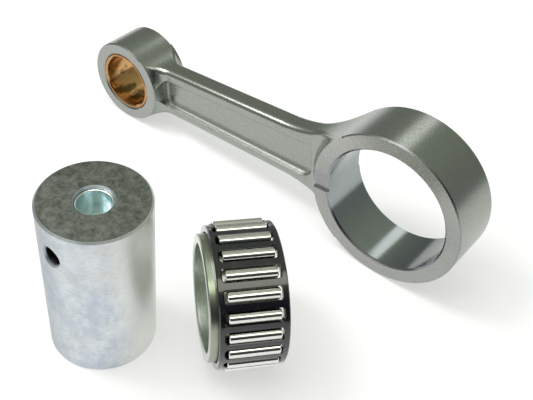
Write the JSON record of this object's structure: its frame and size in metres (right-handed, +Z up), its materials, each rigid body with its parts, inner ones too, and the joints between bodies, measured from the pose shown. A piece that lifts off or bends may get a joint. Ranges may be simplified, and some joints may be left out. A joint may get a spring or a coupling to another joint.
{
  "type": "connecting rod kit",
  "caption": "Steel I-section connecting rod with a bronze small-end bush, stood beside its upright crank pin and its caged roller big-end bearing.",
  "frame": {"origin": "on the floor, under the middle of the whole layout's box", "axes": "+X along the rod from its small end to its big end, +Y along both of its bores from the front to the back, +Z up"},
  "size_m": [0.1768, 0.1234, 0.0604],
  "materials": {
    "rod_steel": "satin forged steel, bores and ring faces ground",
    "bush_bronze": "fine bored bronze",
    "pin_steel": "ground bearing steel",
    "plug_zinc": "pale blue zinc plate",
    "ring_steel": "ground bearing steel",
    "cage_black": "glossy black oxide",
    "roller_steel": "polished bearing steel"
  },
  "bodies": {
    "rod": {"connecting_rod": "rod_steel", "small_end_bush": "bush_bronze"},
    "pin": {"crank_pin": "pin_steel", "crank_pin_plug": "plug_zinc"},
    "bearing": {"roller_cage": "cage_black"},
    "inner_ring": {"bearing_inner_ring": "ring_steel"},
    "roller_01": {"roller_01": "roller_steel"},
    "roller_02": {"roller_02": "roller_steel"},
    "roller_03": {"roller_03": "roller_steel"},
    "roller_04": {"roller_04": "roller_steel"},
    "roller_05": {"roller_05": "roller_steel"},
    "roller_06": {"roller_06": "roller_steel"},
    "roller_07": {"roller_07": "roller_steel"},
    "roller_08": {"roller_08": "roller_steel"},
    "roller_09": {"roller_09": "roller_steel"},
    "roller_10": {"roller_10": "roller_steel"},
    "roller_11": {"roller_11": "roller_steel"},
    "roller_12": {"roller_12": "roller_steel"},
    "roller_13": {"roller_13": "roller_steel"},
    "roller_14": {"roller_14": "roller_steel"},
    "roller_15": {"roller_15": "roller_steel"},
    "roller_16": {"roller_16": "roller_steel"},
    "roller_17": {"roller_17": "roller_steel"},
    "roller_18": {"roller_18": "roller_steel"},
    "roller_19": {"roller_19": "roller_steel"},
    "roller_20": {"roller_20": "roller_steel"},
    "roller_21": {"roller_21": "roller_steel"},
    "roller_22": {"roller_22": "roller_steel"}
  },
  "joints": [
    {"name": "crank_pin_lift", "type": "slide", "parent": "rod", "child": "pin", "axis": [0, 0, 1], "range_m": [0, 0.08]},
    {"name": "bearing_lift", "type": "slide", "parent": "rod", "child": "bearing", "axis": [0, 0, 1], "range_m": [0, 0.08]},
    {"name": "inner_ring_spin", "type": "hinge", "parent": "bearing", "child": "inner_ring", "pos_m": [0.04116, -0.01934, 0.02374], "axis": [-0.6428, -0.766, 0], "continuous": true},
    {"name": "roller_01_spin", "type": "hinge", "parent": "bearing", "child": "roller_01", "pos_m": [0.04041, -0.01532, 0.04574], "axis": [-0.6428, -0.766, 0], "continuous": true},
    {"name": "roller_02_spin", "type": "hinge", "parent": "bearing", "child": "roller_02", "pos_m": [0.03576, -0.01142, 0.04396], "axis": [-0.6428, -0.766, 0], "continuous": true},
    {"name": "roller_03_spin", "type": "hinge", "parent": "bearing", "child": "roller_03", "pos_m": [0.03168, -0.008, 0.04054], "axis": [-0.6428, -0.766, 0], "continuous": true},
    {"name": "roller_04_spin", "type": "hinge", "parent": "bearing", "child": "roller_04", "pos_m": [0.02851, -0.00533, 0.03576], "axis": [-0.6428, -0.766, 0], "continuous": true},
    {"name": "roller_05_spin", "type": "hinge", "parent": "bearing", "child": "roller_05", "pos_m": [0.0265, -0.00365, 0.03], "axis": [-0.6428, -0.766, 0], "continuous": true},
    {"name": "roller_06_spin", "type": "hinge", "parent": "bearing", "child": "roller_06", "pos_m": [0.02581, -0.00307, 0.02374], "axis": [-0.6428, -0.766, 0], "continuous": true},
    {"name": "roller_07_spin", "type": "hinge", "parent": "bearing", "child": "roller_07", "pos_m": [0.0265, -0.00365, 0.01748], "axis": [-0.6428, -0.766, 0], "continuous": true},
    {"name": "roller_08_spin", "type": "hinge", "parent": "bearing", "child": "roller_08", "pos_m": [0.02851, -0.00533, 0.01173], "axis": [-0.6428, -0.766, 0], "continuous": true},
    {"name": "roller_09_spin", "type": "hinge", "parent": "bearing", "child": "roller_09", "pos_m": [0.03168, -0.008, 0.00695], "axis": [-0.6428, -0.766, 0], "continuous": true},
    {"name": "roller_10_spin", "type": "hinge", "parent": "bearing", "child": "roller_10", "pos_m": [0.03576, -0.01142, 0.00353], "axis": [-0.6428, -0.766, 0], "continuous": true},
    {"name": "roller_11_spin", "type": "hinge", "parent": "bearing", "child": "roller_11", "pos_m": [0.04041, -0.01532, 0.00175], "axis": [-0.6428, -0.766, 0], "continuous": true},
    {"name": "roller_12_spin", "type": "hinge", "parent": "bearing", "child": "roller_12", "pos_m": [0.04525, -0.01938, 0.00175], "axis": [-0.6428, -0.766, 0], "continuous": true},
    {"name": "roller_13_spin", "type": "hinge", "parent": "bearing", "child": "roller_13", "pos_m": [0.0499, -0.02328, 0.00353], "axis": [-0.6428, -0.766, 0], "continuous": true},
    {"name": "roller_14_spin", "type": "hinge", "parent": "bearing", "child": "roller_14", "pos_m": [0.05398, -0.0267, 0.00695], "axis": [-0.6428, -0.766, 0], "continuous": true},
    {"name": "roller_15_spin", "type": "hinge", "parent": "bearing", "child": "roller_15", "pos_m": [0.05715, -0.02937, 0.01173], "axis": [-0.6428, -0.766, 0], "continuous": true},
    {"name": "roller_16_spin", "type": "hinge", "parent": "bearing", "child": "roller_16", "pos_m": [0.05916, -0.03105, 0.01748], "axis": [-0.6428, -0.766, 0], "continuous": true},
    {"name": "roller_17_spin", "type": "hinge", "parent": "bearing", "child": "roller_17", "pos_m": [0.05985, -0.03163, 0.02374], "axis": [-0.6428, -0.766, 0], "continuous": true},
    {"name": "roller_18_spin", "type": "hinge", "parent": "bearing", "child": "roller_18", "pos_m": [0.05916, -0.03105, 0.03], "axis": [-0.6428, -0.766, 0], "continuous": true},
    {"name": "roller_19_spin", "type": "hinge", "parent": "bearing", "child": "roller_19", "pos_m": [0.05715, -0.02937, 0.03576], "axis": [-0.6428, -0.766, 0], "continuous": true},
    {"name": "roller_20_spin", "type": "hinge", "parent": "bearing", "child": "roller_20", "pos_m": [0.05398, -0.0267, 0.04054], "axis": [-0.6428, -0.766, 0], "continuous": true},
    {"name": "roller_21_spin", "type": "hinge", "parent": "bearing", "child": "roller_21", "pos_m": [0.0499, -0.02328, 0.04396], "axis": [-0.6428, -0.766, 0], "continuous": true},
    {"name": "roller_22_spin", "type": "hinge", "parent": "bearing", "child": "roller_22", "pos_m": [0.04525, -0.01938, 0.04574], "axis": [-0.6428, -0.766, 0], "continuous": true}
  ],
  "couplings": [
    {"joint": "roller_01_spin", "follows": "inner_ring_spin", "ratio": -11.68},
    {"joint": "roller_02_spin", "follows": "inner_ring_spin", "ratio": -11.68},
    {"joint": "roller_03_spin", "follows": "inner_ring_spin", "ratio": -11.68},
    {"joint": "roller_04_spin", "follows": "inner_ring_spin", "ratio": -11.68},
    {"joint": "roller_05_spin", "follows": "inner_ring_spin", "ratio": -11.68},
    {"joint": "roller_06_spin", "follows": "inner_ring_spin", "ratio": -11.68},
    {"joint": "roller_07_spin", "follows": "inner_ring_spin", "ratio": -11.68},
    {"joint": "roller_08_spin", "follows": "inner_ring_spin", "ratio": -11.68},
    {"joint": "roller_09_spin", "follows": "inner_ring_spin", "ratio": -11.68},
    {"joint": "roller_10_spin", "follows": "inner_ring_spin", "ratio": -11.68},
    {"joint": "roller_11_spin", "follows": "inner_ring_spin", "ratio": -11.68},
    {"joint": "roller_12_spin", "follows": "inner_ring_spin", "ratio": -11.68},
    {"joint": "roller_13_spin", "follows": "inner_ring_spin", "ratio": -11.68},
    {"joint": "roller_14_spin", "follows": "inner_ring_spin", "ratio": -11.68},
    {"joint": "roller_15_spin", "follows": "inner_ring_spin", "ratio": -11.68},
    {"joint": "roller_16_spin", "follows": "inner_ring_spin", "ratio": -11.68},
    {"joint": "roller_17_spin", "follows": "inner_ring_spin", "ratio": -11.68},
    {"joint": "roller_18_spin", "follows": "inner_ring_spin", "ratio": -11.68},
    {"joint": "roller_19_spin", "follows": "inner_ring_spin", "ratio": -11.68},
    {"joint": "roller_20_spin", "follows": "inner_ring_spin", "ratio": -11.68},
    {"joint": "roller_21_spin", "follows": "inner_ring_spin", "ratio": -11.68},
    {"joint": "roller_22_spin", "follows": "inner_ring_spin", "ratio": -11.68}
  ]
}
